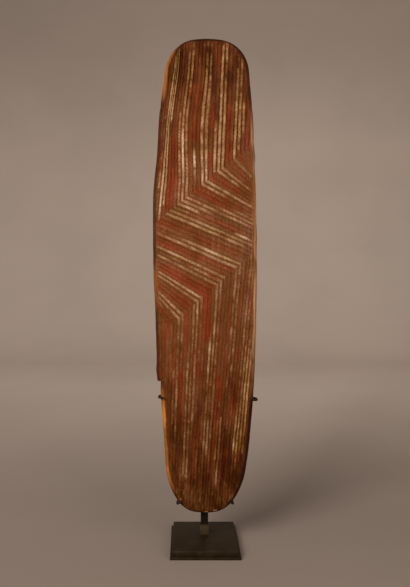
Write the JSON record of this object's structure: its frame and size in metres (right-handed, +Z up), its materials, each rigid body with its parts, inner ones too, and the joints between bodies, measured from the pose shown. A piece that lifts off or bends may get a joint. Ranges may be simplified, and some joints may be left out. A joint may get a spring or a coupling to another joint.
{
  "type": "fluted wooden parrying shield on a metal stand",
  "caption": "Long oval wooden shield with zigzag flutes in red and white ochre and a grip on its back, standing in the prongs of a square-based black metal stand.",
  "frame": {"origin": "centre of the underside of the stand's base plate", "axes": "+Z up along the shield's length, -Y out of the shield's fluted front, +X to the right of someone facing that front"},
  "size_m": [0.1693, 0.112, 0.8163],
  "materials": {
    "ochred_wood": "carved hardwood rubbed with red ochre, white pigment in groups of flutes, worn brown at the ends and edges",
    "black_base": "smooth black paint, slightly glossy",
    "black_rod": "satin black paint"
  },
  "bodies": {
    "root": {"shield": "ochred_wood", "stand_base_plate": "black_base", "stand_base_block": "black_base", "stand_post_socket": "black_rod", "stand_post": "black_rod", "stand_upper_prongs": "black_rod", "stand_lower_prongs": "black_rod"}
  },
  "joints": []
}
